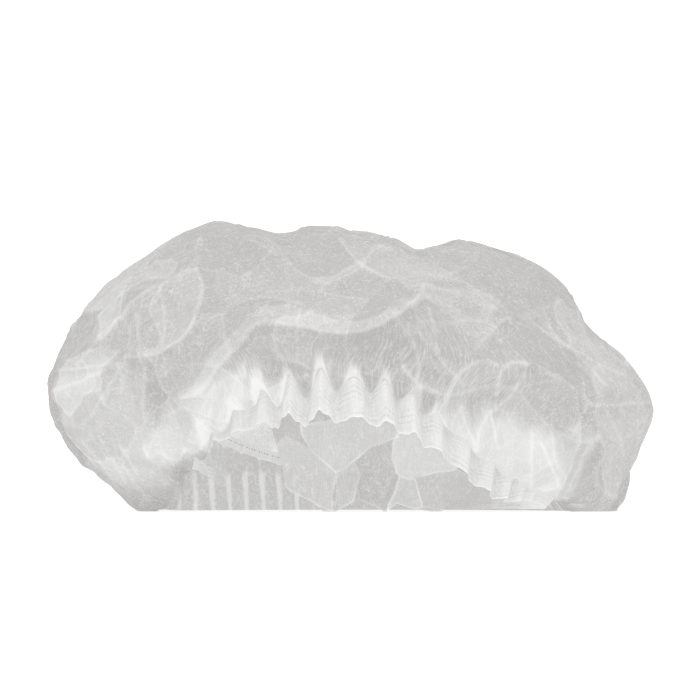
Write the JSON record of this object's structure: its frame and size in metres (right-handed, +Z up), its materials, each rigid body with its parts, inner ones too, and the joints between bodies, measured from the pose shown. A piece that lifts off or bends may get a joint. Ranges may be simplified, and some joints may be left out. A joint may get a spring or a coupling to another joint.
{
  "type": "disposable hair cover cap",
  "caption": "Puffed bouffant hair cover of thin white nonwoven cloth with a pleated elastic hem, resting with the hem's front lifted.",
  "frame": {"origin": "middle of the cap's bounding box on the surface that it rests on", "axes": "+X to the wearer's left as the cap is seen from the front, +Y from the lifted front of the hem to the rear, +Z up"},
  "size_m": [0.3106, 0.2784, 0.1472],
  "materials": {
    "crown_cloth": "thin see-through white nonwoven, matt, finely fibrous",
    "frill_cloth": "white nonwoven in stacked pleats, matt",
    "fold_cloth": "single crumpled layer of see-through white nonwoven",
    "elastic": "narrow off-white covered elastic"
  },
  "bodies": {
    "root": {"crown": "crown_cloth", "frill": "frill_cloth", "inner_fold": "fold_cloth", "elastic_band": "elastic"}
  },
  "joints": []
}
